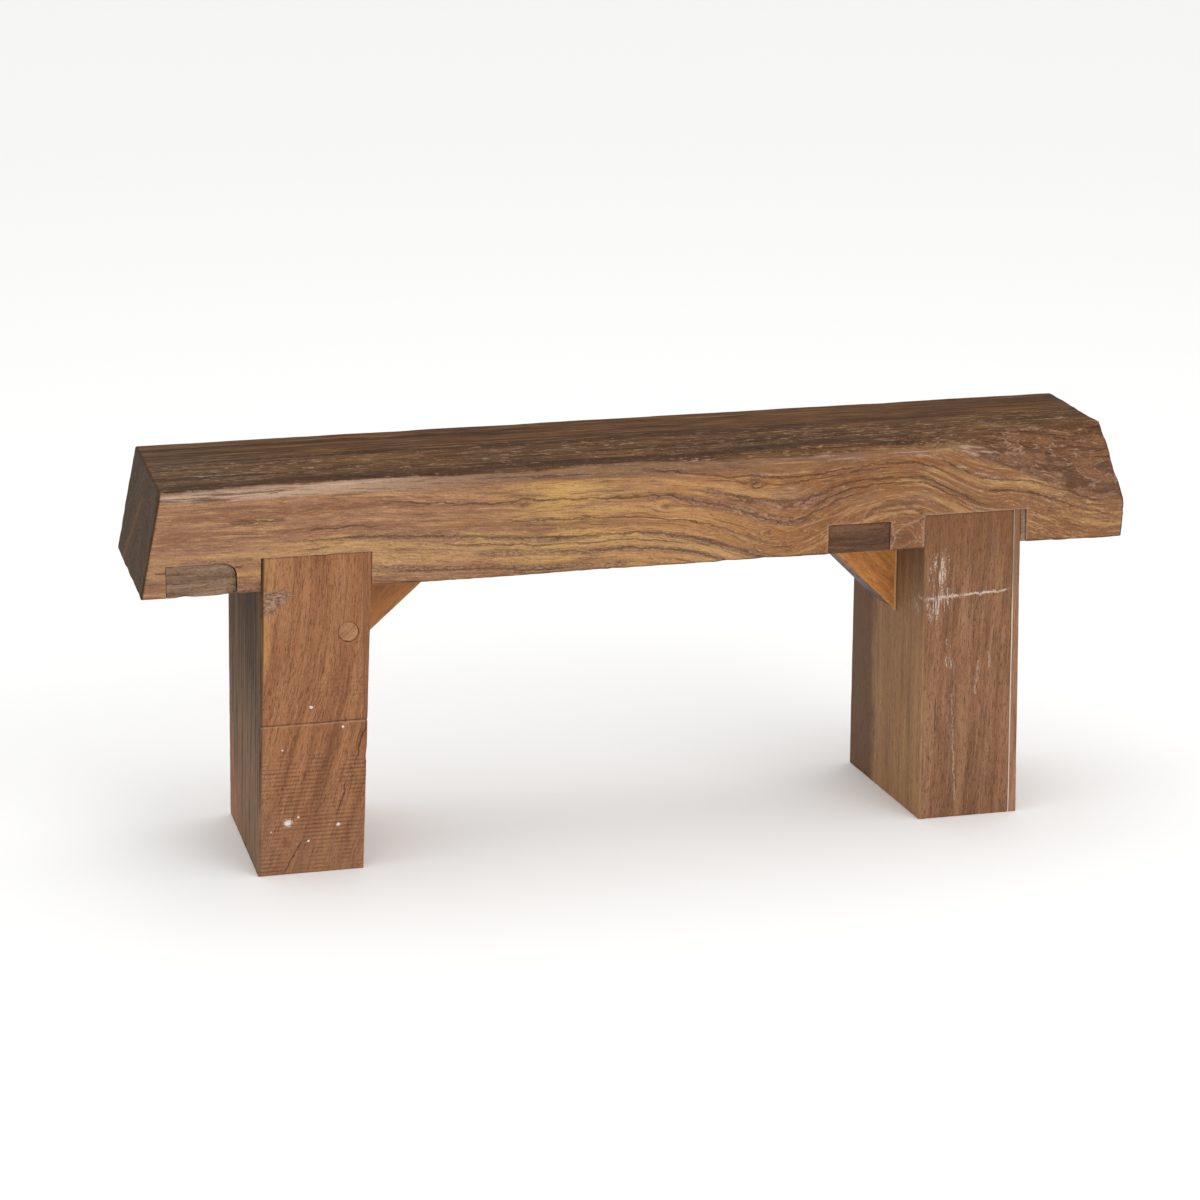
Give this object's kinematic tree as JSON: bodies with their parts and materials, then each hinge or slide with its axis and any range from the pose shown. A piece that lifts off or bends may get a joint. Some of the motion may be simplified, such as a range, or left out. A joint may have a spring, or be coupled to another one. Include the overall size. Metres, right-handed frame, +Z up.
{
  "type": "backless bench",
  "caption": "Backless bench: a thick reclaimed timber seat beam with a waney front edge, housed over block legs with corner braces.",
  "frame": {"origin": "on the floor, under the middle of the bench's bounding box", "axes": "+X along the seat, to the right of someone facing the waney front; +Y to the back; +Z up"},
  "size_m": [1.142, 0.236, 0.45],
  "materials": {
    "seat_wood": "dark oiled reclaimed hardwood, satin, worn pale along the front edge",
    "patch_wood": "dark grey-brown repair wood, oiled satin",
    "left_leg_wood": "reddish-brown reclaimed hardwood with saw marks, satin",
    "right_leg_wood": "pinkish-brown weathered hardwood with chalky marks, satin",
    "shim_wood": "grey weathered packing wood, matt",
    "plug_wood": "light brown wooden plug, satin",
    "block_wood": "orange-honey varnished softwood, satin",
    "dowel_wood": "plain pale beech, unfinished",
    "screw_steel": "yellow-tinged zinc plated steel"
  },
  "bodies": {
    "root": {"seat_beam": "seat_wood", "beam_patch_left": "patch_wood", "beam_patch_right": "patch_wood", "left_leg": "left_leg_wood", "right_leg": "right_leg_wood", "right_leg_edge_board": "right_leg_wood", "right_leg_shim": "shim_wood", "left_leg_plug": "plug_wood", "left_corner_block": "block_wood", "right_corner_block": "block_wood", "left_leg_dowel_front": "dowel_wood", "left_leg_dowel_back": "dowel_wood", "right_leg_dowel_front": "dowel_wood", "right_leg_dowel_back": "dowel_wood", "left_block_beam_screw_front": "screw_steel", "left_block_beam_screw_back": "screw_steel", "left_block_leg_screw_front": "screw_steel", "left_block_leg_screw_back": "screw_steel", "right_block_beam_screw_front": "screw_steel", "right_block_beam_screw_back": "screw_steel", "right_block_leg_screw_front": "screw_steel", "right_block_leg_screw_back": "screw_steel"}
  },
  "joints": []
}
